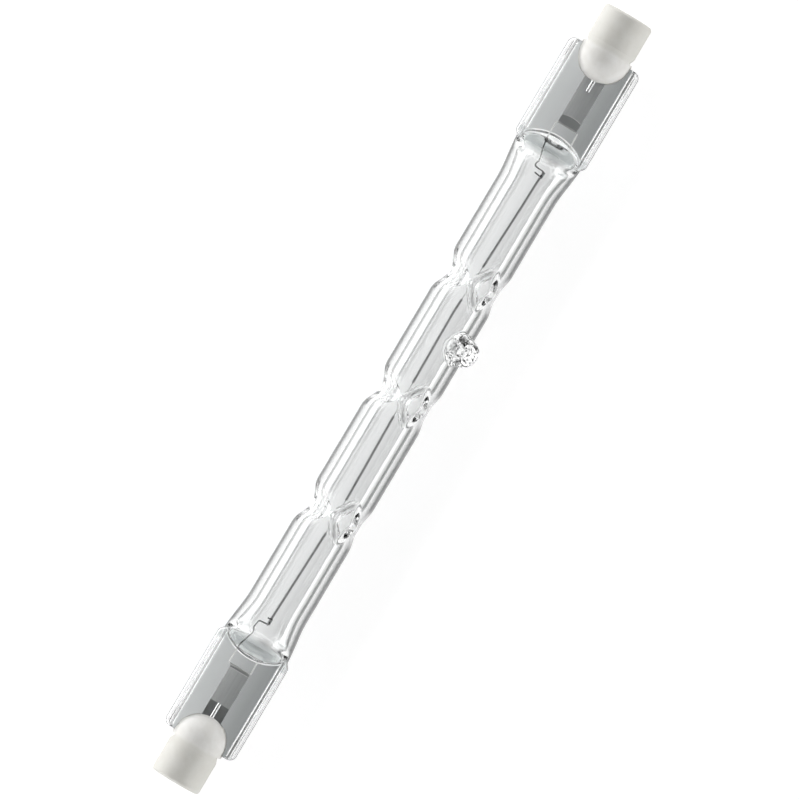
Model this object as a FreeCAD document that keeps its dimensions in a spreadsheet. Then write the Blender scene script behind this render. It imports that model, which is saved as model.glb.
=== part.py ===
import FreeCAD, Part
import math
import os
import Sketcher
from FreeCAD import Placement, Rotation, Vector

os.makedirs("parts", exist_ok=True)

# Sizes of the lamp, in millimetres and degrees. The lamp lies along X with its middle at the
# origin, and both of its ends are alike.
SIZES = {
    "overall_length": 117.6,
    "tube_radius": 4.3,
    "tube_wall": 1.06,
    "dimple_pitch": 17.85,
    "dimple_reach": 3.3,
    "dimple_flat": 0.5,
    "dimple_depth": 2.45,
    "dimple_draw_in": 0.38,
    "pinch_clearance": 0.15,
    "pinch_length": 15.2,
    "pinch_width": 10.7,
    "pinch_corner": 1.0,
    "rib_height": 3.7,
    "rib_width": 1.15,
    "rib_corner": 0.5,
    "web_thickness": 2.0,
    "web_wall_slant": 25.0,
    "web_arc_setback": 2.05,
    "web_arc_rise": 1.5,
    "shoulder_overlap": 0.65,
    "shoulder_rise": 2.6,
    "shoulder_flare": 6.4,
    "shoulder_half_width": 4.85,
    "shoulder_squareness": 6.0,
    "bore_tip_setback": 1.55,
    "bore_tip_flat": 0.05,
    "bore_dome_length": 2.4,
    "bore_end_half_height": 0.95,
    "bore_end_half_width": 3.9,
    "tip_from_middle": 9.4,
    "tip_lean": 48.0,
    "tip_height": 2.5,
    "tip_shoulder": 1.3,
    "tip_radius": 2.05,
    "tip_crown_radius": 1.3,
    "tip_rounding": 0.6,
    "foil_setback": 0.95,
    "foil_width": 2.85,
    "foil_thickness": 0.05,
    "anchor_setback": 4.1,
    "anchor_length": 2.1,
    "anchor_half_width": 1.62,
    "inner_lead_radius": 0.1,
    "inner_lead_bend": 0.3,
    "hook_reach": 2.4,
    "hook_length": 0.95,
    "hook_tail": 0.75,
    "outer_lead_setback": 1.3,
    "outer_lead_length": 8.2,
    "outer_lead_radius": 0.3,
    "coil_radius": 0.225,
    "coil_gap": 0.3,
    "skip_radius": 0.06,
    "skip_length": 5.0,
    "base_radius": 3.55,
    "base_rim_rounding": 0.5,
    "base_mouth_rounding": 0.15,
    "barrel_length": 4.75,
    "neck_radius": 3.15,
    "neck_length": 1.05,
    "neck_slant": 0.25,
    "collar_radius": 3.72,
    "collar_length": 0.55,
    "lip_end_radius": 1.0,
    "slot_setback": 0.1,
    "cement_gap": 0.2,
    "cement_setback": 0.5,
    "recess_radius": 1.8,
    "recess_depth": 1.7,
    "contact_radius": 1.55,
    "contact_thickness": 0.6,
    "contact_rounding": 0.15,
    "contact_clearance": 0.05,
    "shank_radius": 0.7,
    "shank_clearance": 0.6,
    "past_the_cut": 2.0,
    "rest_lean": 6.5,
}

# Places along the lamp, measured inwards from the end face of the nearer ceramic base. The collar
# follows the barrel, the pinch follows the collar, and all that is in the glass follows the pinch.
CONTACT_BACK = "sizes.recess_depth + sizes.contact_thickness"
OUTER_LEAD = f"{CONTACT_BACK} + sizes.outer_lead_setback"
COLLAR = "sizes.barrel_length + sizes.neck_length"
COLLAR_END = f"{COLLAR} + sizes.collar_length"
LIP_END = f"{COLLAR_END} + sqrt(sizes.collar_radius ^ 2 - sizes.lip_end_radius ^ 2)"
SLOT = f"{COLLAR} + sizes.slot_setback"
SHANK_END = f"{SLOT} - sizes.shank_clearance"
PINCH = f"{SLOT} + sizes.pinch_clearance"
PINCH_STOP = f"{PINCH} + sizes.pinch_length"
WEB_ARC = f"{PINCH_STOP} - sizes.web_arc_setback"
SHOULDER = f"{PINCH_STOP} - sizes.shoulder_overlap"
BORE_TIP = f"{PINCH_STOP} - sizes.bore_tip_setback"
FOIL = f"{PINCH} + sizes.foil_setback"
ANCHOR = f"{PINCH_STOP} - sizes.anchor_setback"
HOOK = f"{PINCH_STOP} + sizes.hook_reach"

# How finely the skins of the glass are drawn: points round a section, and sections along the
# half of a dimple, the plain tube between two features, and the shoulder.
SECTION_POINT_COUNT = 36
DIMPLE_SECTION_COUNT = 7
TUBE_SECTION_COUNT = 7
SHOULDER_SECTION_COUNT = 16

doc = FreeCAD.newDocument("halogen_lamp")
sheet = doc.addObject("Spreadsheet::Sheet", "sizes")
for row, (alias, number) in enumerate(SIZES.items(), start=1):
    sheet.set(f"A{row}", alias)
    sheet.set(f"B{row}", str(number))
    sheet.setAlias(f"B{row}", alias)
doc.recompute()


def size(alias):
    """The value that one cell of the sheet holds."""
    return float(getattr(sheet, alias))


def value(expression):
    """The value that an expression on the sheet's cells has."""
    return float(sheet.evalExpression(expression))


# The lamp lies on its tube. The exhaust blob weighs down one side, and the lamp rolls about its
# axis until its shoulders, which are a little wider than the tube, begin to lift it.
LYING = Placement(Vector(0, 0, 0), Rotation(Vector(1, 0, 0), size("rest_lean")))
TURNED_ROUND = Placement(Vector(0, 0, 0), Rotation(Vector(0, 1, 0), 180))
TURNED_OVER = Placement(Vector(0, 0, 0), Rotation(Vector(1, 0, 0), 180))
ENDS = {"right": LYING, "left": LYING.multiply(TURNED_ROUND)}


def from_end(expression):
    """The place along X of something measured inwards from the right-hand end of the lamp."""
    return f"sizes.overall_length / 2 - ({expression})"


def new_body(name, placement):
    """An empty body, placed."""
    body = doc.addObject("PartDesign::Body", name)
    body.Placement = placement
    return body


def fix_point(sketch, geometry, point, corner):
    """Hold a point of a sketch at two expressions, its distances from the sketch's origin."""
    for kind, expression in zip(("DistanceX", "DistanceY"), corner):
        place = value(expression)
        index = sketch.addConstraint(Sketcher.Constraint(kind, -1, 1, geometry, point, place))
        sketch.setExpression(f"Constraints[{index}]", expression)


def outline(body, name, corners, arc=None):
    """A closed sketch through corners, with one side an arc if its number and middle are given."""
    sketch = body.newObject("Sketcher::SketchObject", name)
    base_plane = [item for item in body.Origin.OriginFeatures if item.Role == "XY_Plane"][0]
    sketch.AttachmentSupport = [(base_plane, "")]
    sketch.MapMode = "FlatFace"
    places = [Vector(*map(value, corner), 0) for corner in corners]
    for index, place in enumerate(places):
        following = places[(index + 1) % len(places)]
        if arc and index == arc[0]:
            middle = Vector(*map(value, arc[1]), 0)
            sketch.addGeometry(Part.Arc(place, middle, following), False)
        else:
            sketch.addGeometry(Part.LineSegment(place, following), False)
    for index in range(len(places)):
        following = (index + 1) % len(places)
        sketch.addConstraint(Sketcher.Constraint("Coincident", index, 2, following, 1))
    for index, corner in enumerate(corners):
        fix_point(sketch, index, 1, corner)
    return sketch


def turned(name, corners, placement, dome=None):
    """A body turned about the lamp's axis from an outline of corners. One side of it, if its
    number is given, is the dome of the lips."""
    body = new_body(name, placement)
    if dome is None:
        sketch = outline(body, name + "_outline", corners)
    else:
        across = "sizes.collar_radius / sqrt(2)"
        middle = (from_end(f"{COLLAR_END} + {across}"), across)
        sketch = outline(body, name + "_outline", corners, arc=(dome, middle))
        index = sketch.addConstraint(Sketcher.Constraint("Radius", dome, size("collar_radius")))
        sketch.setExpression(f"Constraints[{index}]", "sizes.collar_radius")
    revolution = body.newObject("PartDesign::Revolution", name + "_turning")
    revolution.Profile = sketch
    revolution.ReferenceAxis = (sketch, ["H_Axis"])
    revolution.Angle = 360
    doc.recompute()
    return body


def slab(name, corners, thickness, placement):
    """A flat body as thick on both sides of the middle plane of the pinches."""
    body = new_body(name, placement)
    sketch = outline(body, name + "_outline", corners)
    pad = body.newObject("PartDesign::Pad", name + "_pad")
    pad.Profile = sketch
    pad.Midplane = True
    pad.setExpression("Length", thickness)
    doc.recompute()
    return body


def rectangle(near, far, half_width):
    """Four corners of a plate between two places from the end of the lamp."""
    start, stop = from_end(far), from_end(near)
    low, high = f"-({half_width})", half_width
    return [(start, low), (stop, low), (stop, high), (start, high)]


def ring_edge(body, near, radius):
    """The round edge of a turned body that lies nearest to a place and radius."""
    place = value(near)
    across = value(radius)
    shape = body.Tip.Shape

    def miss(edge):
        if edge.Curve.TypeId != "Part::GeomCircle":
            return math.inf
        return abs(edge.Curve.Center.x - place) + abs(edge.Curve.Radius - across)

    edges = list(range(len(shape.Edges)))
    return "Edge" + str(1 + min(edges, key=lambda index: miss(shape.Edges[index])))


def round_edges(body, name, edges, radius):
    """Round some edges of a body as it stands so far."""
    sharp = body.Tip
    fillet = body.newObject("PartDesign::Fillet", name)
    fillet.Base = (sharp, edges)
    fillet.setExpression("Radius", radius)
    doc.recompute()


def joined(name, members):
    """The members as one shape."""
    fuse = doc.addObject("Part::MultiFuse", name)
    fuse.Shapes = members
    return fuse


def cut(name, base, tool):
    """The base with the tool's shape taken out of it."""
    result = doc.addObject("Part::Cut", name)
    result.Base = base
    result.Tool = tool
    return result


# The glass is one tube of fused quartz. Rings of three dimples are pressed into it, each end is
# pinched flat between jaws, and the stub of the exhaust tube is melted off as a small blob.

def ease(share):
    """A smooth rise from 0 to 1 as the share goes from 0 to 1."""
    return (1 - math.cos(math.pi * min(max(share, 0), 1))) / 2


def dimpled(radius, x, turn):
    """The radius of a skin of the tube, pressed in at three places around each ring of dimples."""
    pitch = size("dimple_pitch")
    away = min(abs(x - ring) for ring in (-pitch, 0, pitch))
    flat = size("dimple_flat")
    weight = 1 - ease((away - flat) / (size("dimple_reach") - flat))
    draw_in = size("dimple_draw_in")
    press = (1 + math.cos(3 * turn)) / 2
    return radius - weight * (draw_in + (size("dimple_depth") - draw_in) * press)


def section(x, half_width, half_height, squareness):
    """A closed curve across the lamp: an ellipse that squares up as its power rises."""
    points = []
    for step in range(SECTION_POINT_COUNT):
        turn = 2 * math.pi * step / SECTION_POINT_COUNT
        across = math.copysign(abs(math.cos(turn)) ** (2 / squareness), math.cos(turn))
        above = math.copysign(abs(math.sin(turn)) ** (2 / squareness), math.sin(turn))
        shrink = dimpled(half_width, x, turn) / half_width
        points.append(Vector(x, half_width * shrink * across, half_height * shrink * above))
    curve = Part.BSplineCurve()
    knots = [step / SECTION_POINT_COUNT for step in range(SECTION_POINT_COUNT + 1)]
    curve.interpolate(Points=points, PeriodicFlag=True, Parameters=knots)
    return curve


def shoulder_section(inwards, radius, low, wide, squareness):
    """Half width, half height and power of a skin at a place in the shoulder, from the end."""
    rise = ease((inwards - value(SHOULDER)) / size("shoulder_rise"))
    flare = 1 - ease((inwards - value(SHOULDER)) / size("shoulder_flare"))
    half_width = radius + (wide - radius) * flare
    half_height = low + (radius - low) * rise
    return half_width, half_height, 2 + (squareness - 2) * (1 - rise)


def outside_section(inwards):
    """The outside of the glass in a shoulder, from the flat pinch to the round tube."""
    low = size("rib_height") / 2
    wide = size("shoulder_half_width")
    return shoulder_section(inwards, size("tube_radius"), low, wide, size("shoulder_squareness"))


def bore_section(inwards):
    """The hollow in a shoulder: a flat dome that opens out to the round bore of the tube."""
    share = min((inwards - value(BORE_TIP)) / size("bore_dome_length"), 1)
    dome = math.sqrt(share * (2 - share))
    radius = size("tube_radius") - size("tube_wall")
    low = size("bore_end_half_height")
    wide = size("bore_end_half_width")
    half_width, half_height, power = shoulder_section(inwards, radius, low, wide, 2)
    return half_width * math.sqrt(dome), half_height * dome, power


def spread(low, high, steps):
    """Evenly spaced places from low up to high, without high itself."""
    return [low + (high - low) * step / steps for step in range(steps)]


def smooth_solid(places, curves):
    """A closed solid whose skin runs smoothly along X through the closed curves at the places."""
    rings = [curve.getPoles() for curve in curves]
    lines = []
    for poles in zip(*rings):
        line = Part.BSplineCurve()
        line.interpolate(Points=list(poles), Parameters=places)
        lines.append(line)
    along, around = lines[0], curves[0]
    surface = Part.BSplineSurface()
    surface.buildFromPolesMultsKnots(
        [list(row) for row in zip(*(line.getPoles() for line in lines))],
        along.getMultiplicities(),
        around.getMultiplicities(),
        along.getKnots(),
        around.getKnots(),
        False,
        True,
        along.Degree,
        around.Degree,
    )
    ends = [surface.uIso(place) for place in (places[0], places[-1])]
    faces = [surface.toShape()] + [Part.Face(Part.Wire(end.toShape())) for end in ends]
    shell = Part.makeShell(faces)
    shell.sewShape()
    return Part.makeSolid(shell)


def skin(name, start, shape_at):
    """A solid through curves from one shoulder, along the dimpled tube, to the other."""
    half_length = size("overall_length") / 2
    tube_start = value(SHOULDER) + size("shoulder_flare")
    pitch = size("dimple_pitch")
    reach = size("dimple_reach")
    right_half = spread(0, reach, DIMPLE_SECTION_COUNT)
    right_half += spread(reach, pitch - reach, TUBE_SECTION_COUNT)
    right_half += spread(pitch - reach, pitch + reach, 2 * DIMPLE_SECTION_COUNT)
    right_half += spread(pitch + reach, half_length - tube_start, TUBE_SECTION_COUNT)
    shoulder = spread(start, tube_start, SHOULDER_SECTION_COUNT)
    right_half += [half_length - inwards for inwards in shoulder]
    right_half.append(half_length - tube_start)
    left_half = [-x for x in right_half if x > 0]
    places = sorted(left_half + right_half)
    curves = [section(x, *shape_at(half_length - abs(x))) for x in places]
    feature = doc.addObject("Part::Feature", name)
    feature.Shape = smooth_solid(places, curves)
    feature.Placement = LYING
    return feature


def pinch_block(end, placement):
    """The pinched end before its webs are pressed: a flat block with all its edges melted round."""
    corners = rectangle(PINCH, PINCH_STOP, "sizes.pinch_width / 2")
    body = slab(f"{end}_pinch", corners, "sizes.rib_height", placement)
    upright = [
        f"Edge{index}"
        for index, edge in enumerate(body.Tip.Shape.Edges, start=1)
        if edge.BoundBox.ZLength > size("rib_height") / 2
    ]
    round_edges(body, f"{end}_pinch_corners", upright, "sizes.pinch_corner")
    flat = [
        f"Edge{index}"
        for index, edge in enumerate(body.Tip.Shape.Edges, start=1)
        if edge.BoundBox.ZLength < size("rib_corner")
    ]
    round_edges(body, f"{end}_pinch_rim", flat, "sizes.rib_corner")
    return body


def jaw_outline(body, name, height, widening):
    """One level of a jaw, from beyond the end of the pinch to the arc where the bore begins."""
    near = f"{PINCH} - sizes.rib_height"
    far = f"{WEB_ARC} + sizes.web_arc_rise + {widening}"
    half_width = f"sizes.pinch_width / 2 - sizes.rib_width + {widening}"
    middle = (from_end(f"{WEB_ARC} + {widening}"), "0")
    corners = rectangle(near, far, half_width)[::-1]
    sketch = outline(body, name, corners, arc=(3, middle))
    radius = f"(({half_width}) ^ 2 + sizes.web_arc_rise ^ 2) / (2 * sizes.web_arc_rise)"
    index = sketch.addConstraint(Sketcher.Constraint("Radius", 3, value(radius)))
    sketch.setExpression(f"Constraints[{index}]", radius)
    sketch.setExpression("AttachmentOffset.Base.z", height)
    return sketch


def jaw(name, placement):
    """The space that one jaw presses beside a web, between the ribs, with slanted walls."""
    body = new_body(name, placement)
    slope = "tan(sizes.web_wall_slant * 1 deg)"
    loft = body.newObject("PartDesign::AdditiveLoft", name + "_loft")
    loft.Profile = jaw_outline(body, name + "_face", "sizes.web_thickness / 2", "0")
    top = "sizes.web_thickness / 2 + sizes.rib_height / 2"
    loft.Sections = [jaw_outline(body, name + "_top", top, f"sizes.rib_height / 2 * {slope}")]
    loft.Ruled = True
    doc.recompute()
    return body


def exhaust_tip():
    """The melted-off stub of the exhaust tube, which stands out of the side of the lamp."""
    shoulder = "sizes.tube_radius + sizes.tip_shoulder"
    crown = "sizes.tube_radius + sizes.tip_height"
    corners = [
        ("0", "0"),
        ("0", "sizes.tip_radius"),
        (shoulder, "sizes.tip_radius"),
        (crown, "sizes.tip_crown_radius"),
        (crown, "0"),
    ]
    lean = math.radians(size("tip_lean"))
    outwards = Rotation(Vector(1, 0, 0), Vector(0, -math.sin(lean), math.cos(lean)))
    standing = LYING.multiply(Placement(Vector(size("tip_from_middle"), 0, 0), outwards))
    body = turned("exhaust_tip", corners, standing)
    edges = [
        ring_edge(body, shoulder, "sizes.tip_radius"),
        ring_edge(body, crown, "sizes.tip_crown_radius"),
    ]
    round_edges(body, "exhaust_tip_melt", edges, "sizes.tip_rounding")
    return body


# The metal in each end: a thick outer lead, a thin foil sealed in the web, and an inner lead
# bent from fine wire. Its anchor lies on the foil and its hook carries the end of the coil.

def outer_lead(end, placement):
    """The thick pin that runs from the contact to the foil."""
    start = from_end(OUTER_LEAD)
    stop = from_end(f"{OUTER_LEAD} + sizes.outer_lead_length")
    radius = "sizes.outer_lead_radius"
    corners = [(stop, "0"), (start, "0"), (start, radius), (stop, radius)]
    return turned(f"{end}_outer_lead", corners, placement)


def inner_lead(end, placement):
    """Fine wire through seven points, with a round bend at each inner one."""
    anchor = value(from_end(ANCHOR))
    half_width = size("anchor_half_width")
    hook = value(from_end(HOOK))
    coil = hook - size("hook_length")
    points = [
        Vector(anchor - size("anchor_length"), -half_width, 0),
        Vector(anchor, -half_width, 0),
        Vector(anchor, half_width, 0),
        Vector(hook, half_width, 0),
        Vector(hook, 0, 0),
        Vector(coil, 0, 0),
        Vector(coil, size("hook_tail"), 0),
    ]
    bend = size("inner_lead_bend")
    edges = []
    start = points[0]
    for before, corner, after in zip(points, points[1:], points[2:]):
        back = (before - corner).normalize()
        onward = (after - corner).normalize()
        inner = (back + onward).normalize()
        bend_in = corner + back * bend
        bend_out = corner + onward * bend
        middle = corner + inner * bend * (math.sqrt(2) - 1)
        edges.append(Part.LineSegment(start, bend_in).toShape())
        edges.append(Part.Arc(bend_in, middle, bend_out).toShape())
        start = bend_out
    edges.append(Part.LineSegment(start, points[-1]).toShape())
    across = Part.Wire(Part.makeCircle(size("inner_lead_radius"), points[0], Vector(1, 0, 0)))
    feature = doc.addObject("Part::Feature", f"{end}_inner_lead")
    feature.Shape = Part.Wire(edges).makePipeShell([across], True, True)
    feature.Placement = placement
    return feature


def foil(end, placement, leads):
    """A strip of foil, with each lead set into it where the two are welded."""
    corners = rectangle(FOIL, ANCHOR, "sizes.foil_width / 2")
    strip = slab(f"{end}_foil_strip", corners, "sizes.foil_thickness", placement)
    return cut(f"{end}_foil", strip, leads)


# The ceramic base is pressed in one piece: a barrel with a recess for the contact, a neck notched
# from both sides, and a domed collar whose two lips clasp the web. Cement fills the slot between.

def base_slot(end, placement):
    """The slot across the collar and lips, as thick as the web and its cement."""
    far = f"{LIP_END} + sizes.past_the_cut"
    corners = rectangle(SLOT, far, "sizes.collar_radius + sizes.past_the_cut")
    thickness = "sizes.web_thickness + 2 * sizes.cement_gap"
    return slab(f"{end}_base_slot", corners, thickness, placement)


def neck_notch(name, placement):
    """What is taken out of one side of the neck, from the barrel to the collar."""
    beyond = "sizes.collar_radius + sizes.past_the_cut"
    corners = [
        (from_end("sizes.barrel_length"), "sizes.base_radius"),
        (from_end("sizes.barrel_length"), beyond),
        (from_end(COLLAR), beyond),
        (from_end(f"{COLLAR} - sizes.neck_slant"), "sizes.neck_radius"),
    ]
    return slab(name, corners, "2 * sizes.collar_radius", placement)


def ceramic_base(end, placement, slot):
    """A turned blank with a recess, a seat for the contact and a hole for its shank, slotted and
    notched."""
    seat = "sizes.contact_radius + sizes.contact_clearance"
    hole = "sizes.shank_radius + sizes.contact_clearance"
    corners = [
        (from_end("0"), "sizes.recess_radius"),
        (from_end("0"), "sizes.base_radius"),
        (from_end("sizes.barrel_length"), "sizes.base_radius"),
        (from_end(COLLAR), "sizes.collar_radius"),
        (from_end(COLLAR_END), "sizes.collar_radius"),
        (from_end(LIP_END), "sizes.lip_end_radius"),
        (from_end(LIP_END), hole),
        (from_end(CONTACT_BACK), hole),
        (from_end(CONTACT_BACK), seat),
        (from_end("sizes.recess_depth"), seat),
        (from_end("sizes.recess_depth"), "sizes.recess_radius"),
    ]
    body = turned(f"{end}_base_blank", corners, placement, dome=4)
    rim = [ring_edge(body, from_end("0"), "sizes.base_radius")]
    round_edges(body, f"{end}_base_rim", rim, "sizes.base_rim_rounding")
    mouth = [ring_edge(body, from_end("0"), "sizes.recess_radius")]
    round_edges(body, f"{end}_base_mouth", mouth, "sizes.base_mouth_rounding")
    notches = [
        neck_notch(f"{end}_left_notch", placement),
        neck_notch(f"{end}_right_notch", placement.multiply(TURNED_OVER)),
    ]
    return cut(f"{end}_ceramic_base", body, joined(f"{end}_base_cuts", [slot] + notches))


def contact(end, placement):
    """A flat-headed rivet whose hollow shank holds the end of the outer lead."""
    corners = [
        (from_end("sizes.recess_depth"), "0"),
        (from_end("sizes.recess_depth"), "sizes.contact_radius"),
        (from_end(CONTACT_BACK), "sizes.contact_radius"),
        (from_end(CONTACT_BACK), "sizes.shank_radius"),
        (from_end(SHANK_END), "sizes.shank_radius"),
        (from_end(SHANK_END), "sizes.outer_lead_radius"),
        (from_end(OUTER_LEAD), "sizes.outer_lead_radius"),
        (from_end(OUTER_LEAD), "0"),
    ]
    body = turned(f"{end}_contact", corners, placement)
    face = [ring_edge(body, from_end("sizes.recess_depth"), "sizes.contact_radius")]
    round_edges(body, f"{end}_contact_edge", face, "sizes.contact_rounding")
    return body


def cement(end, placement, slot, lead):
    """The cement in the slot, flush with the collar and a little short of the ends of the lips."""
    stop = f"{LIP_END} - sizes.cement_setback"
    end_radius = f"sqrt(sizes.collar_radius ^ 2 - ({stop} - ({COLLAR_END})) ^ 2)"
    corners = [
        (from_end(SLOT), "0"),
        (from_end(SLOT), "sizes.collar_radius"),
        (from_end(COLLAR_END), "sizes.collar_radius"),
        (from_end(stop), end_radius),
        (from_end(stop), "0"),
    ]
    blank = turned(f"{end}_cement_blank", corners, placement, dome=2)
    web_far = f"{LIP_END} + 2 * sizes.past_the_cut"
    web_half_width = "sizes.collar_radius + 2 * sizes.past_the_cut"
    web_corners = rectangle(PINCH, web_far, web_half_width)
    web = slab(f"{end}_web_in_slot", web_corners, "sizes.web_thickness", placement)
    room = cut(f"{end}_slot_room", slot, web)
    filling = doc.addObject("Part::MultiCommon", f"{end}_slot_filling")
    filling.Shapes = [blank, room]
    return cut(f"{end}_cement", filling, lead)


# The filament is a fine coil in lengths that glow, with straight wire through each ring of
# dimples. Here each glowing length is a rod of the coil's outer size.

def filament(leads):
    """A turned wire that is thick where it is coiled, set on the hooks of both inner leads."""
    start = f"{HOOK} + sizes.coil_gap"
    corners = [(f"-({from_end(start)})", "0")]
    for ring in (-1, 0, 1):
        before = f"{ring} * sizes.dimple_pitch - sizes.skip_length / 2"
        after = f"{ring} * sizes.dimple_pitch + sizes.skip_length / 2"
        if ring == -1:
            corners.append((f"-({from_end(start)})", "sizes.coil_radius"))
        corners.append((before, "sizes.coil_radius"))
        corners.append((before, "sizes.skip_radius"))
        corners.append((after, "sizes.skip_radius"))
        corners.append((after, "sizes.coil_radius"))
    corners.append((from_end(start), "sizes.coil_radius"))
    corners.append((from_end(start), "0"))
    return cut("filament", turned("coil_lengths", corners, LYING), joined("coil_hooks", leads))


nodes = []
glass = [skin("outside_of_glass", value(SHOULDER) - size("rib_corner"), outside_section)]
glass.append(exhaust_tip())
hollow_start = value(BORE_TIP) + size("bore_tip_flat")
removed = [skin("bore", hollow_start, bore_section)]
inner_leads = []
for end, placement in ENDS.items():
    lead = outer_lead(end, placement)
    wire = inner_lead(end, placement)
    strip = foil(end, placement, joined(f"{end}_leads", [lead, wire]))
    slot = base_slot(end, placement)
    nodes += [lead, wire, strip, contact(end, placement)]
    nodes.append(ceramic_base(end, placement, slot))
    nodes.append(cement(end, placement, slot, lead))
    glass.append(pinch_block(end, placement))
    removed.append(jaw(f"{end}_front_jaw", placement))
    removed.append(jaw(f"{end}_back_jaw", placement.multiply(TURNED_OVER)))
    removed += [lead, wire, strip]
    inner_leads.append(wire)
nodes.append(filament(inner_leads))
nodes.append(cut("glass_envelope", joined("glass_blank", glass), joined("not_glass", removed)))

doc.recompute()
for item in doc.Objects:
    if "Invalid" in item.State or "Error" in item.State:
        raise RuntimeError(f"{item.Name} did not recompute: {item.State}")
for node in nodes:
    node.Label = node.Name
    if node.Shape.isNull() or not node.Shape.isValid():
        raise RuntimeError(f"{node.Label} has no valid shape")
for node in nodes:
    node.Shape.exportStep(f"parts/{node.Label}.step")
    print(node.Label, len(node.Shape.Solids), round(node.Shape.Volume, 4))
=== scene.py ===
import math

import bmesh
import bpy
import numpy as np
from mathutils import Matrix, Vector


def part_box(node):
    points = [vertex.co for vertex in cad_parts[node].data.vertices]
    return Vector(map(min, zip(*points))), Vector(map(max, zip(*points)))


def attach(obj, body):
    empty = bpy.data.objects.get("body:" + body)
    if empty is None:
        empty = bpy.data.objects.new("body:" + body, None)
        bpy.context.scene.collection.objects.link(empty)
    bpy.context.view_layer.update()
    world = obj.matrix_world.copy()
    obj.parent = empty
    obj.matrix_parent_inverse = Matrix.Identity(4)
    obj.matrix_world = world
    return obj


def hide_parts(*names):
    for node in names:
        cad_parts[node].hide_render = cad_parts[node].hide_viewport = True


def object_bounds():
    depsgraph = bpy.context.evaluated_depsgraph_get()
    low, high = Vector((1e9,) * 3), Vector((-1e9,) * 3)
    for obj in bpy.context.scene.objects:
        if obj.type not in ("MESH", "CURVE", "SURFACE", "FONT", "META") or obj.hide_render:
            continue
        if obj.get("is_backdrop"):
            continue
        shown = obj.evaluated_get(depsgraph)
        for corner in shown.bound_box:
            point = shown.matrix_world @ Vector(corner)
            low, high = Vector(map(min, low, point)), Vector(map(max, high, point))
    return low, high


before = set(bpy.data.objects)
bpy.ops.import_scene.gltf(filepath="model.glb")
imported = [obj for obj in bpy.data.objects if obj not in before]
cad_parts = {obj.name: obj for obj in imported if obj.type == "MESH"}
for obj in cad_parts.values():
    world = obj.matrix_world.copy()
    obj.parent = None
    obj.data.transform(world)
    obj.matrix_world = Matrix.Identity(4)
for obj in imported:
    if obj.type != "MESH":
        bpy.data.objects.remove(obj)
cad_low, cad_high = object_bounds()

# The lamp is one closed tube of fused quartz. Rings of three dimples are pressed into it, both ends
# are pinched flat between jaws that leave a web between two ribs, and the stub of the exhaust
# tube is melted off as a blob on its side. Sizes are in millimetres along the lamp's own axes.
MM = 0.001
HALF_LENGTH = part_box("right_ceramic_base")[1].x / MM
TUBE_RADIUS = 4.3
TUBE_WALL = 1.06
DIMPLE_PITCH = 17.85
DIMPLE_REACH = 3.3
DIMPLE_FLAT = 0.5
DIMPLE_DEPTH = 2.45
DIMPLE_DRAW_IN = 0.38
DIMPLE_SPREAD = math.radians(36)
DIMPLE_CREASE_FLAT = 0.2
DIMPLE_CREASE_REACH = 3.45
DIMPLE_LEAST_SPREAD = 0.03
DIMPLE_MELT = 0.1
DIMPLE_WRINKLE = 0.22
WRINKLE_FINENESS = (1.7, 1.9)
PUNCH_RADIUS = 0.65
PUNCH_RIM = 0.24
PUNCH_DEPTH = 0.09
PINCH_END = HALF_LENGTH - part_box("glass_envelope")[1].x / MM
PINCH_STOP = PINCH_END + 15.2
PINCH_HALF_WIDTH = 5.335
PINCH_CORNER = 1.0
RIB_HALF_HEIGHT = 1.85
RIB_WIDTH = 1.15
RIB_CORNER = 0.5
RIB_GROOVE_PLACE = 4.62
RIB_GROOVE_DEPTH = 0.1
RIB_GROOVE_WIDTH = 0.13
WEB_HALF_THICKNESS = 1.0
WEB_WALL_SLANT = math.radians(25)
WEB_ARC_SLANT = math.radians(50)
WEB_MELT = 0.3
WEB_ARCS = (19.05, 18.5)
WEB_ARC_RISE = 1.5
PRESSED_PAST_PINCH = 0.5
OUTLINE_SHARES = [0, 0.07, 0.24, 0.44, 0.88, 1]
WALL_FOOT = 0.35
FACE_MIDDLE = 0.72
SHOULDER = PINCH_STOP - 0.65
SHOULDER_RISE = 2.6
SHOULDER_FLARE = 6.4
SHOULDER_HALF_WIDTH = 4.85
SHOULDER_SQUARENESS = 6.0
OPENING_START = 0.3
OPENING_LENGTH = 1.1
BORE_TIP = PINCH_STOP - 1.55
BORE_DOME = 2.4
BORE_END_HALF_HEIGHT = 0.95
BORE_END_HALF_WIDTH = 3.9
TIP_PLACE = 9.4
TIP_LEAN = math.radians(48)
TIP_RADIUS = 2.03
TIP_HEIGHT = 2.43
TIP_FOOT = 0.45
TIP_DROP = 0.21
TIP_UNEVEN = 0.04
TIP_OUTLINE_UNEVEN = 0.12
TIP_BORE_RADIUS = 0.62
TIP_BORE_HEIGHT = 0.7
TIP_BORE_FOOT = 0.3
TIP_BORE_REACH = 1.2
OUTER_COLUMNS = 180
OUTER_RING_STEP = 0.13
OUTER_TIP_STEP = 0.14
WEB_STEP = 0.08
BORE_COLUMNS = 112
BORE_RING_STEP = 0.24
BORE_TIP_STEP = 0.1
BORE_FLARE_STEP = 0.3
OUTER_FLARE_STEP = 0.25
PLAIN_STEP = 0.9
LONG_STEP = 1.2
SAME_POINT = 0.0005

foil_low, foil_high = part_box("right_foil")
LEAN = math.atan2(foil_high.z - foil_low.z, foil_high.y - foil_low.y)


def laid_down(points):
    """Points of the lamp in its own axes and millimetres, turned about X by the lean, in metres."""
    x, y, z = np.moveaxis(np.asarray(points, float), -1, 0)
    turned_y = y * math.cos(LEAN) - z * math.sin(LEAN)
    turned_z = y * math.sin(LEAN) + z * math.cos(LEAN)
    return np.stack([x, turned_y, turned_z], axis=-1) * MM


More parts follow.
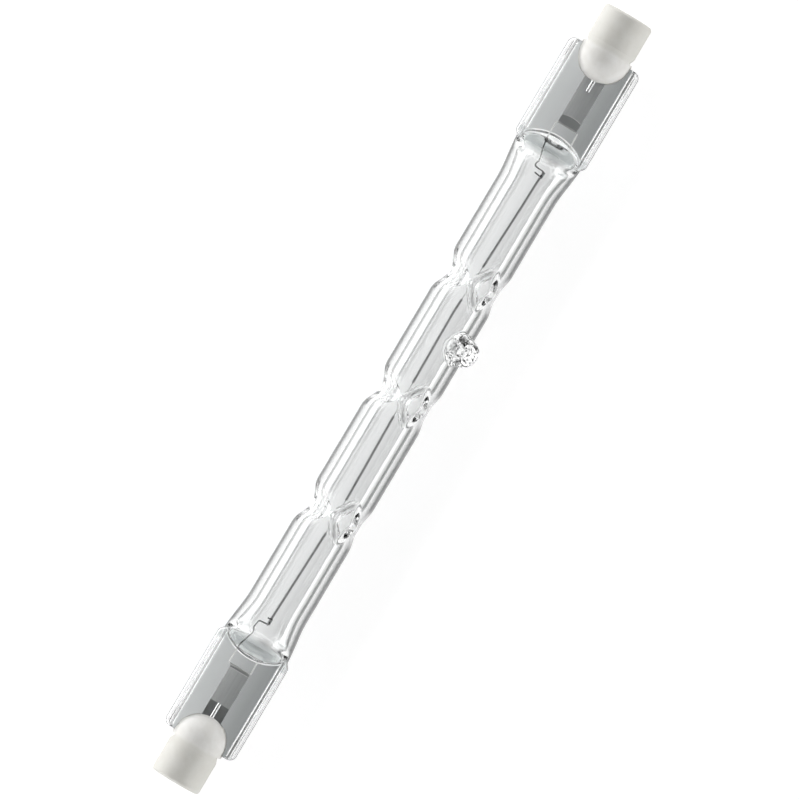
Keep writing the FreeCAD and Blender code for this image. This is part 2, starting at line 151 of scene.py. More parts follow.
def ease(share):
    """Half a cosine wave, from 0 at share 0 to 1 at share 1, and level outside that."""
    return (1 - np.cos(np.pi * np.clip(share, 0, 1))) / 2


def lower_of(a, b, melt):
    """The lower of two heights, with their crossing rounded over a width called melt."""
    share = np.clip(0.5 + 0.5 * (b - a) / melt, 0, 1)
    return b + (a - b) * share - melt * share * (1 - share)


def higher_of(a, b, melt):
    """The higher of two heights, with their crossing rounded over a width called melt."""
    return -lower_of(-a, -b, melt)


def lumps(a, b):
    """An uneven melted surface: a few crossing sine waves about a millimetre long."""
    long_waves = np.sin(5.1 * a + 1.3 * b) + np.sin(4.3 * b - 2.2 * a + 1.7)
    short_waves = 0.7 * np.sin(7.7 * a + 6.1 * b + 0.4)
    return (long_waves + short_waves) / 2.7


def pressed_in(x, turn, radius):
    """How far the skin lies inside its plain radius: each ring of dimples pulls the tube in a
    little, three wedges press it in further, each across an angle that narrows evenly with the
    distance from the ring and ends in a crease, and the nose of the punch leaves a flat mark."""
    away = np.min([np.abs(x - ring * DIMPLE_PITCH) for ring in (-1, 0, 1)], axis=0)
    weight = 1 - ease((away - DIMPLE_FLAT) / (DIMPLE_REACH - DIMPLE_FLAT))
    angle = np.arcsin(np.abs(np.sin(1.5 * turn))) / 1.5
    narrowing = (DIMPLE_CREASE_REACH - away) / (DIMPLE_CREASE_REACH - DIMPLE_CREASE_FLAT)
    spread = DIMPLE_SPREAD * np.clip(narrowing, DIMPLE_LEAST_SPREAD, 1)
    press = higher_of(1 - (angle / spread) ** 2, 0 * angle, DIMPLE_MELT)
    mark = 1 - ease((np.hypot(away, radius * angle) - PUNCH_RADIUS + PUNCH_RIM / 2) / PUNCH_RIM)
    wrinkles = lumps(WRINKLE_FINENESS[0] * x, WRINKLE_FINENESS[1] * radius * turn)
    wrinkled = DIMPLE_WRINKLE * press * (1 - press) * wrinkles
    depth = DIMPLE_DRAW_IN + (DIMPLE_DEPTH - DIMPLE_DRAW_IN) * press + wrinkled
    return weight * depth + PUNCH_DEPTH * mark


def signed_power(value, power):
    """The size of a value raised to a power, with the sign of the value kept."""
    return np.sign(value) * np.abs(value) ** power


def squared_ellipse(turn, half_width, half_height, squareness):
    """A closed curve around X: cosine and sine raised to 2 over the squareness."""
    y = half_width * signed_power(np.cos(turn), 2 / squareness)
    z = half_height * signed_power(np.sin(turn), 2 / squareness)
    return y, z


def block_outline(turn, half_width, half_height, corner):
    """A rectangle with round corners and a fine groove along each rib. Each quarter turn is shared
    out between the side, the corner and the long face, with most of the points where the rib meets
    the web."""
    quarter = np.abs((turn / (np.pi / 2) + 1) % 2 - 1)
    on_face = quarter > OUTLINE_SHARES[2]
    arc = np.interp(quarter, OUTLINE_SHARES[1:3], [0, np.pi / 2])
    foot = (PINCH_HALF_WIDTH - RIB_WIDTH + WALL_FOOT) / (PINCH_HALF_WIDTH - RIB_CORNER)
    face = np.interp(quarter, OUTLINE_SHARES[2:], [1, foot, FACE_MIDDLE, 0])
    side = np.interp(quarter, OUTLINE_SHARES[:2], [0, 1])
    y = np.where(on_face, (half_width - corner) * face, half_width - corner + corner * np.cos(arc))
    groove = RIB_GROOVE_DEPTH * np.exp(-(((y - RIB_GROOVE_PLACE) / RIB_GROOVE_WIDTH) ** 2))
    z = (half_height - corner) * side + corner * np.sin(arc) - groove * on_face
    return y * np.where(np.cos(turn) < 0, -1, 1), z * np.where(np.sin(turn) < 0, -1, 1)


def shoulder_laws(inwards, radius, low, wide, squareness):
    """Half width, half height and squareness where the flat pinch swells into the round tube."""
    rise = ease((inwards - SHOULDER) / SHOULDER_RISE)
    flare = 1 - ease((inwards - SHOULDER) / SHOULDER_FLARE)
    return radius + (wide - radius) * flare, low + (radius - low) * rise, 2 + (squareness - 2) * (1 - rise)


def web_floor(x, y):
    """The height of a pressed face above the middle plane: level over the web, then up the slanted
    walls beside the ribs and along the arc where the bore begins."""
    rib = PINCH_HALF_WIDTH - RIB_WIDTH
    arc_radius = (rib**2 + WEB_ARC_RISE**2) / (2 * WEB_ARC_RISE)
    from_rib = rib - np.abs(y)
    past_arc = HALF_LENGTH - np.abs(x) - np.where(x < 0, *WEB_ARCS)
    from_arc = np.hypot(past_arc - arc_radius, y) - arc_radius
    below_wall = from_rib / math.tan(WEB_WALL_SLANT)
    below_arc = from_arc / math.tan(WEB_ARC_SLANT)
    return WEB_HALF_THICKNESS + higher_of(-lower_of(below_wall, below_arc, WEB_MELT), 0 * y, WEB_MELT)


def spread_out(low, high, step):
    """Evenly spaced places from low up to but without high, about a step apart."""
    return np.linspace(low, high, max(int(round((high - low) / step)), 1), endpoint=False)


def stations(ring_step, blob_half_width, blob_step, *to_end):
    """Places along X from end to end, close together in the rings of dimples and, on the side that
    has it, in the blob. The last places of each half are given, and are the same on both sides."""
    ring = DIMPLE_PITCH
    reach = DIMPLE_REACH + 0.2
    middle = spread_out(0, reach, ring_step)
    plain = spread_out(reach, ring - reach, PLAIN_STEP)
    blob = [
        spread_out(reach, TIP_PLACE - blob_half_width, PLAIN_STEP),
        spread_out(TIP_PLACE - blob_half_width, TIP_PLACE + blob_half_width, blob_step),
        spread_out(TIP_PLACE + blob_half_width, ring - reach, PLAIN_STEP),
    ]
    beyond = [
        spread_out(ring - reach, ring + reach, ring_step),
        spread_out(ring + reach, HALF_LENGTH - SHOULDER - SHOULDER_FLARE, LONG_STEP),
        *to_end,
    ]
    left = np.concatenate([middle, plain, *beyond])
    right = np.concatenate([middle, *blob, *beyond])
    return np.concatenate([-left[:0:-1], right])[:, None]


def outer_skin():
    """The outside of the glass as rings of points from one end to the other."""
    past_arcs = HALF_LENGTH - min(WEB_ARCS) + WEB_MELT
    corner_place = HALF_LENGTH - PINCH_END - PINCH_CORNER
    x = stations(
        OUTER_RING_STEP,
        TIP_RADIUS + 2 * TIP_FOOT,
        OUTER_TIP_STEP,
        spread_out(HALF_LENGTH - SHOULDER - SHOULDER_FLARE, HALF_LENGTH - PINCH_STOP, OUTER_FLARE_STEP),
        spread_out(HALF_LENGTH - PINCH_STOP, past_arcs, WEB_STEP),
        spread_out(past_arcs, corner_place, LONG_STEP),
        corner_place + PINCH_CORNER * np.cos(np.linspace(np.pi / 2, 0, 14)),
    )
    turn = (2 * np.pi * (np.arange(OUTER_COLUMNS) + 0.5) / OUTER_COLUMNS)[None, :]
    inwards = HALF_LENGTH - np.abs(x)

    into_corner = np.clip(PINCH_END + PINCH_CORNER - inwards, 0, PINCH_CORNER)
    into_rim = np.clip(PINCH_END + RIB_CORNER - inwards, 0, RIB_CORNER)
    far_corner = np.clip(inwards - PINCH_STOP + PINCH_CORNER, 0, PINCH_CORNER)
    block_width = PINCH_HALF_WIDTH - 2 * PINCH_CORNER + np.sqrt(PINCH_CORNER**2 - into_corner**2)
    block_width = block_width + np.sqrt(PINCH_CORNER**2 - far_corner**2)
    block_height = RIB_HALF_HEIGHT - RIB_CORNER + np.sqrt(RIB_CORNER**2 - into_rim**2)
    wide, high, squareness = shoulder_laws(
        inwards, TUBE_RADIUS, RIB_HALF_HEIGHT, SHOULDER_HALF_WIDTH, SHOULDER_SQUARENESS
    )
    block_width = np.where(inwards > SHOULDER, np.maximum(block_width, wide), block_width)
    block_y, block_z = block_outline(turn, block_width, block_height, RIB_CORNER)
    tube_y, tube_z = squared_ellipse(turn, wide, high, squareness)
    open_up = ease((inwards - SHOULDER + OPENING_START) / OPENING_LENGTH)
    y = block_y + (tube_y - block_y) * open_up
    z = block_z + (tube_z - block_z) * open_up
    pressed = np.sign(z) * lower_of(np.abs(z), web_floor(x, y), 0.6 * WEB_MELT)
    z = np.where(inwards < PINCH_STOP + PRESSED_PAST_PINCH, pressed, z)
    shrink = 1 - pressed_in(x, turn, TUBE_RADIUS) / TUBE_RADIUS
    rings = np.stack([x + 0 * turn, y * shrink, z * shrink], axis=-1)
    rings = with_exhaust_blob(rings, TUBE_RADIUS + TIP_HEIGHT, TIP_RADIUS, TIP_FOOT)
    caps = [rings[:1] * [1, 1, share] for share in (0, 0.5)]
    closing = [rings[-1:] * [1, 1, share] for share in (0.5, 0)]
    return np.concatenate(caps + [rings] + closing)


def with_exhaust_blob(rings, height, radius, foot):
    """Rings of points with the melted stub raised out of them. Points within its radius go out to a
    dome that falls off with the square of the distance from its top and is uneven in two sizes of
    lumps, and those around it rise to it over a narrow foot."""
    outwards = np.array([0, -math.sin(TIP_LEAN), math.cos(TIP_LEAN)])
    sideways = np.array([0, math.cos(TIP_LEAN), math.sin(TIP_LEAN)])
    a = rings[..., 0] - TIP_PLACE
    b = rings @ sideways
    up = rings @ outwards
    away = np.hypot(a, b) + TIP_OUTLINE_UNEVEN * lumps(0.6 * b, 0.6 * a)
    uneven = TIP_UNEVEN * (2 + lumps(a, b) + lumps(2.3 * b, 2.1 * a))
    dome = height - TIP_DROP * away**2 / radius - uneven
    share = 1 - ease((away - radius + foot) / (2 * foot))
    raised = np.where((up > 0) & (away < radius + foot), (dome - up) * share, 0)
    return rings + raised[..., None] * outwards


def bore_skin():
    """The hollow of the tube as rings of points: a flat dome at each end, the dimpled bore between."""
    dome_place = HALF_LENGTH - BORE_TIP - BORE_DOME
    x = stations(
        BORE_RING_STEP,
        TIP_BORE_REACH,
        BORE_TIP_STEP,
        spread_out(HALF_LENGTH - SHOULDER - SHOULDER_FLARE, dome_place, BORE_FLARE_STEP),
        dome_place + BORE_DOME * np.sin(np.linspace(0, np.pi / 2, 24)),
    )
    turn = (2 * np.pi * (np.arange(BORE_COLUMNS) + 0.5) / BORE_COLUMNS)[None, :]
    inwards = HALF_LENGTH - np.abs(x)
    share = np.clip((inwards - BORE_TIP) / BORE_DOME, 0, 1)
    round_off = np.sqrt(share * (2 - share))
    radius = TUBE_RADIUS - TUBE_WALL
    wide, high, squareness = shoulder_laws(inwards, radius, BORE_END_HALF_HEIGHT, BORE_END_HALF_WIDTH, 2)
    y, z = squared_ellipse(turn, wide * np.sqrt(round_off), high * round_off, squareness)
    shrink = 1 - pressed_in(x, turn, radius) / radius
    rings = np.stack([x + 0 * turn, y * shrink, z * shrink], axis=-1)
    return with_exhaust_blob(rings, TUBE_RADIUS + TIP_BORE_HEIGHT, TIP_BORE_RADIUS, TIP_BORE_FOOT)


def ring_faces(rows, columns, start, inward):
    """The squares of a grid of rings that close round X, as numbers of points from start. They face
    out from X, or inward."""
    row = np.arange(rows - 1)[:, None] * columns
    here = np.arange(columns)[None, :]
    following = (here + 1) % columns
    corners = [row + following, row + columns + following, row + columns + here, row + here]
    if inward:
        corners = corners[::-1]
    return np.stack(corners, axis=-1).reshape(-1, 4) + start


def new_piece(name, points, faces):
    """A smooth mesh object at the origin, from points in metres and faces, with doubles merged."""
    mesh = bpy.data.meshes.new(name)
    mesh.from_pydata(np.asarray(points).tolist(), [], np.asarray(faces).tolist())
    work = bmesh.new()
    work.from_mesh(mesh)
    bmesh.ops.remove_doubles(work, verts=work.verts, dist=SAME_POINT * MM)
    work.to_mesh(mesh)
    work.free()
    mesh.polygons.foreach_set("use_smooth", np.ones(len(mesh.polygons), bool))
    piece = bpy.data.objects.new(name, mesh)
    bpy.context.scene.collection.objects.link(piece)
    return piece


outside = outer_skin()
inside = bore_skin()
glass_points = np.concatenate([laid_down(outside).reshape(-1, 3), laid_down(inside).reshape(-1, 3)])
glass_faces = np.concatenate([
    ring_faces(len(outside), OUTER_COLUMNS, 0, False),
    ring_faces(len(inside), BORE_COLUMNS, outside.shape[0] * outside.shape[1], True),
])
glass = new_piece("quartz_tube", glass_points, glass_faces)


def new_material(name):
    """A node material, its tree and its surface shader."""
    material = bpy.data.materials.new(name)
    material.use_nodes = True
    tree = material.node_tree
    return material, tree, tree.nodes["Principled BSDF"]


def node(tree, kind, **settings):
    """A shader node with its settings made: a socket by its name, or anything else by its property."""
    made = tree.nodes.new("ShaderNode" + kind)
    for name, value in settings.items():
        socket = made.inputs.get(name.replace("_", " "))
        if socket is None:
            setattr(made, name, value)
        elif isinstance(value, bpy.types.NodeSocket):
            tree.links.new(value, socket)
        else:
            socket.default_value = value
    return made


def lamp_place(tree):
    """The place of a surface point along the lamp's own axes, in millimetres, for patterns."""
    place = node(tree, "TexCoord").outputs["Object"]
    turned = node(tree, "Mapping", Vector=place, Scale=(1 / MM,) * 3, Rotation=(-LEAN, 0, 0))
    return turned.outputs["Vector"]


def sized(tree, kind, value, *others):
    """The outcome of a Math node of that kind on one value and up to two more."""
    made = node(tree, "Math", operation=kind)
    for socket, part in zip(made.inputs, (value, *others)):
        if isinstance(part, bpy.types.NodeSocket):
            tree.links.new(part, socket)
        else:
            socket.default_value = part
    return made.outputs[0]


def faded(tree, value, start, stop):
    """A mask that eases from 0 where a value is at start to 1 where it is at stop."""
    made = node(tree, "MapRange", interpolation_type="SMOOTHSTEP", Value=value)
    made.inputs["From Min"].default_value = start
    made.inputs["From Max"].default_value = stop
    return made.outputs["Result"]


def between(tree, value, start, full, fading, stop):
    """A mask that eases from 0 at start to 1 at full, and back to 0 from fading to stop."""
    return sized(tree, "MULTIPLY", faded(tree, value, start, full), faded(tree, value, stop, fading))


def blended(tree, mask, first, second):
    """First where the mask is 0 and second where it is 1, each a colour or a colour socket."""
    made = node(tree, "Mix", data_type="RGBA")
    tree.links.new(mask, made.inputs["Factor"])
    for socket, part in zip((made.inputs[6], made.inputs[7]), (first, second)):
        if isinstance(part, bpy.types.NodeSocket):
            tree.links.new(part, socket)
        else:
            socket.default_value = (*part, 1)
    return made.outputs[2]


def new_group(name, takes, gives):
    """An empty group of shader nodes with its sockets, given as names and kinds."""
    group = bpy.data.node_groups.new(name, "ShaderNodeTree")
    for in_out, sockets in (("INPUT", takes), ("OUTPUT", gives)):
        for socket_name, kind in sockets.items():
            group.interface.new_socket(name=socket_name, in_out=in_out, socket_type="NodeSocket" + kind)
    return group, group.nodes.new("NodeGroupInput").outputs, group.nodes.new("NodeGroupOutput").inputs


def placed(tree, group, **settings):
    """A group put into a material with its own values and links."""
    made = tree.nodes.new("ShaderNodeGroup")
    made.node_tree = group
    for name, value in settings.items():
        socket = made.inputs[name.replace("_", " ")]
        if isinstance(value, bpy.types.NodeSocket):
            tree.links.new(value, socket)
        else:
            socket.default_value = value
    return made.outputs


LINE_STRETCH = (0.06, 1, 1)
LINE_HEIGHT = 0.02

drawn_lines, given, out = new_group(
    "drawn_lines",
    {"Place": "Vector", "Fineness": "Float", "Depth": "Float"},
    {"Mask": "Float", "Normal": "Vector"},
)
stretched = node(drawn_lines, "VectorMath", operation="MULTIPLY")
drawn_lines.links.new(given["Place"], stretched.inputs[0])
stretched.inputs[1].default_value = LINE_STRETCH
streaks = node(drawn_lines, "TexNoise", Vector=stretched.outputs[0], Scale=given["Fineness"], Detail=3)
drawn_lines.links.new(faded(drawn_lines, streaks.outputs["Fac"], 0.3, 0.7), out["Mask"])
grooves = node(
    drawn_lines, "Bump", Height=streaks.outputs["Fac"], Strength=given["Depth"], Distance=LINE_HEIGHT * MM
)
drawn_lines.links.new(grooves.outputs["Normal"], out["Normal"])

QUARTZ_IOR = 1.458
CLEAR_QUARTZ = (0.925, 0.93, 0.93)
QUARTZ_NEAR_PINCH = (0.7, 0.72, 0.72)
PAINTED_EDGE_SHADE = (0.035, 0.037, 0.037)
WEB_PAINTED_DEEP_SHADE = (0.073, 0.08, 0.08)
WEB_PAINTED_LIGHT_SHADE = (0.3, 0.315, 0.315)
WEB_LOWER_FACE = (-1.14, -1.03, -0.8, -0.5)
WEB_SHADE_STOP = (21.6, 20.4)
WEB_SHADE_SIDES = (4.3, 4.1)
NEAR_PINCH_PLACES = (PINCH_STOP + 0.9, PINCH_STOP - 0.2, 19.8, 19.4)
EDGE_FACING = (0.4, 0.68)
EDGE_SHADE_ON_SHADOW_SIDE = 0.1
EDGE_AT_RINGS = 0.5
RING_PLACES = (1.5, 3.2)
TIP_MIDDLE_HEIGHT = 5.6
TIP_PLACES = (2.2, 3.0)
TIP_ROUGHNESS = 0.05
TIP_LUMPS_SCALE = 1.7
TIP_LUMPS_HEIGHT = 0.12
RIPPLE_ON_TUBE = 0.12
RIPPLE_ON_RIBS = 0.7
RIB_SIDES = (4.2, 4.4)
RIB_STOP = (21, 20)

quartz, tree, surface = new_material("fused_quartz")
surface.inputs["Transmission Weight"].default_value = 1
surface.inputs["IOR"].default_value = QUARTZ_IOR
place = lamp_place(tree)
axes = node(tree, "SeparateXYZ", Vector=place).outputs
along = sized(tree, "ABSOLUTE", axes["X"])
inwards = sized(tree, "SUBTRACT", HALF_LENGTH, along)
beside = sized(tree, "ABSOLUTE", axes["Y"])

# The lower face of each web is painted grey as painted shade, deeper towards -Y and lighter towards +Y.
on_web = sized(tree, "MULTIPLY", faded(tree, beside, *WEB_SHADE_SIDES), faded(tree, inwards, *WEB_SHADE_STOP))
on_web = sized(tree, "MULTIPLY", on_web, between(tree, axes["Z"], *WEB_LOWER_FACE))
across_web = faded(tree, axes["Y"], -PINCH_HALF_WIDTH, PINCH_HALF_WIDTH)
web_painted_shade = blended(tree, across_web, WEB_PAINTED_DEEP_SHADE, WEB_PAINTED_LIGHT_SHADE)
clear_tint = blended(tree, between(tree, inwards, *NEAR_PINCH_PLACES), CLEAR_QUARTZ, QUARTZ_NEAR_PINCH)
tint = blended(tree, on_web, clear_tint, web_painted_shade)

from_tip = node(tree, "VectorMath", operation="DISTANCE")
tree.links.new(place, from_tip.inputs[0])
from_tip.inputs[1].default_value = (
    TIP_PLACE,
    -TIP_MIDDLE_HEIGHT * math.sin(TIP_LEAN),
    TIP_MIDDLE_HEIGHT * math.cos(TIP_LEAN),
)
off_tip = faded(tree, from_tip.outputs["Value"], *TIP_PLACES)
past_ring = sized(tree, "ABSOLUTE", sized(tree, "SUBTRACT", along, DIMPLE_PITCH))
off_ring = faded(tree, sized(tree, "MINIMUM", along, past_ring), *RING_PLACES)
# Where the glass is seen at a slant it is painted dark as painted shade, more towards -Y, less near the rings
# of dimples and not on the blob.
facing = node(tree, "LayerWeight", Blend=0.5).outputs["Facing"]
skimming = sized(tree, "MULTIPLY_ADD", faded(tree, axes["Y"], 1, -1), EDGE_SHADE_ON_SHADOW_SIDE, facing)
edge = sized(tree, "MULTIPLY_ADD", off_ring, 1 - EDGE_AT_RINGS, EDGE_AT_RINGS)
edge = sized(tree, "MULTIPLY", faded(tree, skimming, *EDGE_FACING), edge)
edge = sized(tree, "MULTIPLY", edge, off_tip)
tree.links.new(blended(tree, edge, tint, PAINTED_EDGE_SHADE), surface.inputs["Base Color"])
roughness = sized(tree, "MULTIPLY_ADD", off_tip, -TIP_ROUGHNESS, TIP_ROUGHNESS)
tree.links.new(roughness, surface.inputs["Roughness"])

in_rib = sized(tree, "MULTIPLY", faded(tree, beside, *RIB_SIDES), faded(tree, inwards, *RIB_STOP))
ripple_depth = sized(tree, "MULTIPLY_ADD", in_rib, RIPPLE_ON_RIBS, RIPPLE_ON_TUBE)
ripple = placed(tree, drawn_lines, Place=place, Fineness=0.8, Depth=ripple_depth)
melted = node(tree, "TexNoise", Vector=place, Scale=TIP_LUMPS_SCALE, Detail=0.5)
height = sized(tree, "MULTIPLY", melted.outputs["Fac"], sized(tree, "SUBTRACT", 1.0, off_tip))
relief = node(tree, "Bump", Height=height, Distance=TIP_LUMPS_HEIGHT * MM, Normal=ripple["Normal"])
relief.inputs["Strength"].default_value = 1
tree.links.new(relief.outputs["Normal"], surface.inputs["Normal"])
glass.data.materials.append(quartz)
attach(glass, "root")
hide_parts("glass_envelope")

# The filament is one tungsten wire, wound into a fine coil in four lengths and left straight where
# it runs through a ring of dimples. It sags and sways a little between the dimples.
COIL_HALF_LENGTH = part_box("filament")[1].x / MM
WIRE_RADIUS = 0.042
COIL_OUTSIDE = 0.2
TURN_PITCH = 0.16
SKIP_LENGTH = 5.0
TURN_STEPS = 10
WIRE_SIDES = 6
SPOKE_GUIDE = np.array([0.3, 0.5, 0.81])
SWAY_PLACES = [-COIL_HALF_LENGTH, -20.8, -14.8, -2.8, 3.2, 13.2, 21.2, 30.0, COIL_HALF_LENGTH]
SWAY = [0.05, -0.38, -0.45, -0.2, -0.1, 0.05, -0.3, -0.6, -0.72]


def coil_line():
    """The centre line of the wire: a helix in four lengths whose radius falls to nothing at skips,
    about an axis that sways across the tube."""
    places = []
    edge = DIMPLE_PITCH - SKIP_LENGTH / 2
    lengths = [
        (-COIL_HALF_LENGTH, -DIMPLE_PITCH - SKIP_LENGTH / 2),
        (-edge, -SKIP_LENGTH / 2),
        (SKIP_LENGTH / 2, edge),
        (DIMPLE_PITCH + SKIP_LENGTH / 2, COIL_HALF_LENGTH),
    ]
    for start, stop in lengths:
        turns = round((stop - start) / TURN_PITCH)
        share = np.linspace(0, 1, turns * TURN_STEPS + 1)
        angle = 2 * np.pi * turns * share
        radius = (COIL_OUTSIDE - WIRE_RADIUS) * np.clip(np.minimum(share, 1 - share) * turns, 0, 1)
        x = start + (stop - start) * share
        sway = np.interp(x, SWAY_PLACES, SWAY)
        places.append(np.stack([x, sway + radius * np.cos(angle), radius * np.sin(angle)], axis=-1))
    return np.concatenate(places)


def wire_along(line, radius, sides):
    """Rings of points around a line, in planes across it. The first spoke of each is square to the
    line and to one fixed direction, so that the rings don't twist. Each end closes in a point."""
    along = np.gradient(line, axis=0)
    along /= np.linalg.norm(along, axis=1, keepdims=True)
    first = np.cross(along, SPOKE_GUIDE)
    first /= np.linalg.norm(first, axis=1, keepdims=True)
    second = np.cross(along, first)
    angle = 2 * np.pi * np.arange(sides) / sides
    spokes = first[:, None] * np.cos(angle)[None, :, None] + second[:, None] * np.sin(angle)[None, :, None]
    rings = line[:, None] + radius * spokes
    return np.concatenate([line[:1, None] + 0 * spokes[:1], rings, line[-1:, None] + 0 * spokes[-1:]])


coil_rings = wire_along(coil_line(), WIRE_RADIUS, WIRE_SIDES)
coil = new_piece(
    "coiled_filament",
    laid_down(coil_rings).reshape(-1, 3),
    ring_faces(len(coil_rings), WIRE_SIDES, 0, False),
)
GRIT_FINENESS = 9.0
GRIT_HEIGHT = 0.03

mottle, given, out = new_group(
    "mottle",
    {"Place": "Vector", "Fineness": "Float", "Depth": "Float", "Dark": "Color", "Light": "Color"},
    {"Color": "Color", "Mask": "Float", "Normal": "Vector"},
)
clouds = node(mottle, "TexNoise", Vector=given["Place"], Scale=given["Fineness"], Detail=6, Roughness=0.6)
share = faded(mottle, clouds.outputs["Fac"], 0.32, 0.68)
mottle.links.new(blended(mottle, share, given["Dark"], given["Light"]), out["Color"])
mottle.links.new(share, out["Mask"])
finer = sized(mottle, "MULTIPLY", given["Fineness"], GRIT_FINENESS)
grit = node(mottle, "TexNoise", Vector=given["Place"], Scale=finer, Detail=4)
bumps = node(mottle, "Bump", Height=grit.outputs["Fac"], Strength=given["Depth"], Distance=GRIT_HEIGHT * MM)
mottle.links.new(bumps.outputs["Normal"], out["Normal"])


def dressed(tree, surface, looks, rough, rougher):
    """Colour, roughness and relief of a material from a placed group's outcomes. The roughness goes
    from rough where the mask is 0 to rougher where it is 1."""
    if "Color" in looks:
        tree.links.new(looks["Color"], surface.inputs["Base Color"])
    made = node(tree, "MapRange", Value=looks["Mask"])
    made.inputs["To Min"].default_value = rough
    made.inputs["To Max"].default_value = rougher
    tree.links.new(made.outputs["Result"], surface.inputs["Roughness"])
    tree.links.new(looks["Normal"], surface.inputs["Normal"])


tungsten, tree, surface = new_material("tungsten_wire")
surface.inputs["Metallic"].default_value = 1
looks = placed(
    tree,
    mottle,
    Place=lamp_place(tree),
    Fineness=4.0,
    Depth=0.3,
    Dark=(0.2, 0.2, 0.205, 1),
    Light=(0.36, 0.36, 0.36, 1),
)
dressed(tree, surface, looks, 0.35, 0.6)
coil.data.materials.append(tungsten)
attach(coil, "root")
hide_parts("filament")

# Each inner lead is fine wire bent by hand: a U in the flat glass that anchors it behind the foil,
# then a straight run into the bore, a step to the axis and a hook that the coil's end is wound on.
LEAD_RADIUS = 0.1
LEAD_BEND = 0.3
LEAD_STEP = 0.08
LEAD_SIDES = 12
HOOK_TURNS = 8
HOOK_TURN_STEPS = 12
HOOK_WIRE_RADIUS = 0.06
HOOK_GAP = 0.075
HOOK_COIL_PLACE = (0.02, 0.15)


def rounded_line(corners, bend, step):
    """A line through corners with each one cut off by a curve of second order, in even steps."""
    corners = np.asarray(corners, float)
    parts = [corners[:1]]
    share = np.linspace(0, 1, 7)[:, None]
    for before, corner, after in zip(corners, corners[1:], corners[2:]):
        start = corner + (before - corner) / np.linalg.norm(before - corner) * bend
        stop = corner + (after - corner) / np.linalg.norm(after - corner) * bend
        parts.append((1 - share) ** 2 * start + 2 * share * (1 - share) * corner + share**2 * stop)
    parts.append(corners[-1:])
    line = np.concatenate(parts)
    reach = np.concatenate([[0], np.cumsum(np.linalg.norm(np.diff(line, axis=0), axis=1))])
    even = np.linspace(0, reach[-1], int(reach[-1] / step) + 2)
    return np.stack([np.interp(even, reach, line[:, k]) for k in range(3)], axis=-1)


def from_end(side, inwards, y, z=0.0):
    """A place in lamp axes, as far inwards from one end of the lamp as given."""
    return side * (HALF_LENGTH - inwards), y, z


def winding(side, start, stop, y, turns):
    """A tight helix about a line along X: the end of the coil, wound on the hook."""
    share = np.linspace(0, 1, turns * HOOK_TURN_STEPS + 1)
    angle = 2 * np.pi * turns * share
    x = side * (HALF_LENGTH - start - (stop - start) * share)
    radius = LEAD_RADIUS + HOOK_GAP
    return np.stack([x, y + radius * np.cos(angle), radius * np.sin(angle)], axis=-1)


# The bends of each lead, as places inwards from the end of the lamp and across it.
LEADS = {
    "left": [
        *((19.3, -1.35), (17.2, -1.4), (17.25, 1.92), (19.3, 1.9)),
        *((24.05, 1.3), (24.15, -0.05), (24.9, -0.02), (24.92, 0.5)),
    ],
    "right": [
        *((19.4, -2.1), (16.85, -2.05), (16.8, 1.2), (19.0, 1.2)),
        *((23.4, 0.66), (23.5, -0.8), (24.3, -0.78), (24.15, 0.25)),
    ],
}
LEAD_IN_GAS = (0.3, 0.3, 0.3)
LEAD_PAINTED_SHINE_IN_WEB = (0.95, 0.95, 0.94)
LEAD_AT_PIN = (0.8, 0.8, 0.8)
SEAL_PLACE = (19.6, 19.1)
PIN_PLACE = (14, 13)
LESS_METAL_FOR_PAINTED_SHINE = 0.6

wire, tree, surface = new_material("lead_wire")
place = lamp_place(tree)
along = sized(tree, "ABSOLUTE", node(tree, "SeparateXYZ", Vector=place).outputs["X"])
inwards = sized(tree, "SUBTRACT", HALF_LENGTH, along)
# Where it lies in the flat glass, short of the pins, the wire is painted near white and made less metallic,
# as a painted reflection.
sealed = faded(tree, inwards, *SEAL_PLACE)
pinned = faded(tree, inwards, *PIN_PLACE)
pale = blended(tree, sealed, LEAD_IN_GAS, LEAD_PAINTED_SHINE_IN_WEB)
tree.links.new(blended(tree, pinned, pale, LEAD_AT_PIN), surface.inputs["Base Color"])
painted_shine = sized(tree, "SUBTRACT", sealed, pinned)
tree.links.new(sized(tree, "MULTIPLY_ADD", painted_shine, -LESS_METAL_FOR_PAINTED_SHINE, 1.0), surface.inputs["Metallic"])
drawn = placed(tree, drawn_lines, Place=place, Fineness=6.0, Depth=0.2)
dressed(tree, surface, drawn, 0.06, 0.18)
for end, side in (("left", -1), ("right", 1)):
    line = rounded_line([from_end(side, inwards, y) for inwards, y in LEADS[end]], LEAD_BEND, LEAD_STEP)
    wire_rings = wire_along(line, LEAD_RADIUS, LEAD_SIDES)
    (hook_start, _), (hook_stop, hook_y) = LEADS[end][-3:-1]
    coil_start, coil_stop = hook_start + HOOK_COIL_PLACE[0], hook_stop + HOOK_COIL_PLACE[1]
    wound = wire_along(winding(side, coil_start, coil_stop, hook_y, HOOK_TURNS), HOOK_WIRE_RADIUS, WIRE_SIDES)
    lead = new_piece(
        end + "_bent_lead",
        np.concatenate([laid_down(wire_rings).reshape(-1, 3), laid_down(wound).reshape(-1, 3)]),
        np.concatenate([
            ring_faces(len(wire_rings), LEAD_SIDES, 0, False),
            ring_faces(len(wound), WIRE_SIDES, wire_rings.shape[0] * LEAD_SIDES, False),
        ]),
    )
    lead.data.materials.append(wire)
    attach(lead, "root")
    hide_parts(end + "_inner_lead")

